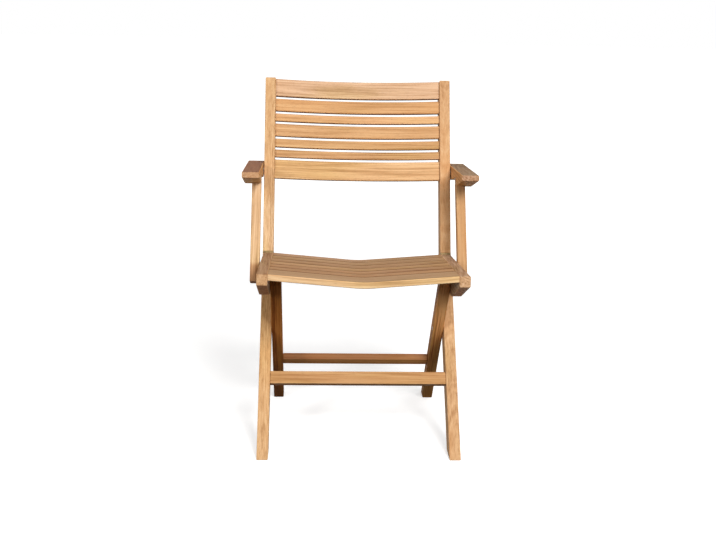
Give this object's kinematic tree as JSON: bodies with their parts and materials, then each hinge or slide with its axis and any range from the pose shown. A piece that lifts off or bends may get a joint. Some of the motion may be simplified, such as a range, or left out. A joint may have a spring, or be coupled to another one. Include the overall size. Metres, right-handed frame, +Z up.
{
  "type": "folding armchair",
  "caption": "Folding wooden garden armchair with bent side frames, crossed rear legs, a dipped slatted seat, a bowed slatted back and arms that fold with the seat.",
  "frame": {"origin": "on the ground, under the middle of the open chair's bounding box", "axes": "+X to the left of a person who sits in the chair and to the right of someone who faces it, +Y from the front of the seat to the back, +Z up"},
  "size_m": [0.597, 0.599, 0.87],
  "materials": {
    "teak_frame": "oiled, fine sanded",
    "teak_back": "oiled, fine sanded",
    "teak_seat": "oiled, fine sanded",
    "teak_legs": "oiled, fine sanded",
    "steel": "satin stainless",
    "brass": "aged, dull"
  },
  "bodies": {
    "frame": {"right_stile": "teak_frame", "left_stile": "teak_frame", "back_slat_1": "teak_back", "back_slat_2": "teak_back", "back_slat_3": "teak_back", "back_slat_4": "teak_back", "back_slat_5": "teak_back", "back_slat_6": "teak_back", "back_slat_7": "teak_back", "front_stretcher": "teak_frame", "right_cross_bolt": "steel", "left_cross_bolt": "steel", "right_arm_bolt": "steel", "left_arm_bolt": "steel", "right_arm_washer": "steel", "left_arm_washer": "steel", "right_hinge_frame_leaf": "brass", "left_hinge_frame_leaf": "brass", "right_hinge_pin": "brass", "left_hinge_pin": "brass"},
    "seat": {"right_seat_rail": "teak_frame", "left_seat_rail": "teak_frame", "seat_slat_1": "teak_seat", "seat_slat_2": "teak_seat", "seat_slat_3": "teak_seat", "seat_slat_4": "teak_seat", "seat_slat_5": "teak_seat", "seat_slat_6": "teak_seat", "seat_slat_7": "teak_seat", "right_hinge_seat_leaf": "brass", "left_hinge_seat_leaf": "brass", "right_post_low_bolt": "steel", "left_post_low_bolt": "steel", "right_post_washer": "steel", "left_post_washer": "steel"},
    "rear_legs": {"right_rear_leg": "teak_legs", "left_rear_leg": "teak_legs", "rear_stretcher": "teak_legs", "right_slide_pin": "steel", "left_slide_pin": "steel"},
    "right_arm_body": {"right_arm": "teak_frame", "right_post_top_bolt": "steel"},
    "left_arm_body": {"left_arm": "teak_frame", "left_post_top_bolt": "steel"},
    "right_post_body": {"right_arm_post": "teak_frame"},
    "left_post_body": {"left_arm_post": "teak_frame"}
  },
  "joints": [
    {"name": "seat_fold", "type": "hinge", "parent": "frame", "child": "seat", "pos_m": [0, 0.0616, 0.43193], "axis": [-1, 0, 0], "range_deg": [0, 104]},
    {"name": "leg_fold", "type": "hinge", "parent": "frame", "child": "rear_legs", "pos_m": [0, -0.04801, 0.25881], "axis": [-1, 0, 0], "range_deg": [0, 58.25]},
    {"name": "right_arm_fold", "type": "hinge", "parent": "frame", "child": "right_arm_body", "pos_m": [0.2765, 0.17318, 0.63059], "axis": [-1, 0, 0], "range_deg": [0, 104]},
    {"name": "left_arm_fold", "type": "hinge", "parent": "frame", "child": "left_arm_body", "pos_m": [-0.2765, 0.17318, 0.63059], "axis": [-1, 0, 0], "range_deg": [0, 104]},
    {"name": "right_post_fold", "type": "hinge", "parent": "seat", "child": "right_post_body", "pos_m": [0.2665, -0.04316, 0.42577], "axis": [-1, 0, 0], "range_deg": [-104, 0]},
    {"name": "left_post_fold", "type": "hinge", "parent": "seat", "child": "left_post_body", "pos_m": [-0.2665, -0.04316, 0.42577], "axis": [-1, 0, 0], "range_deg": [-104, 0]}
  ],
  "couplings": [
    {"joint": "leg_fold", "follows": "seat_fold", "ratio": 0.56},
    {"joint": "right_arm_fold", "follows": "seat_fold", "ratio": 1},
    {"joint": "left_arm_fold", "follows": "seat_fold", "ratio": 1},
    {"joint": "right_post_fold", "follows": "seat_fold", "ratio": -1},
    {"joint": "left_post_fold", "follows": "seat_fold", "ratio": -1}
  ]
}
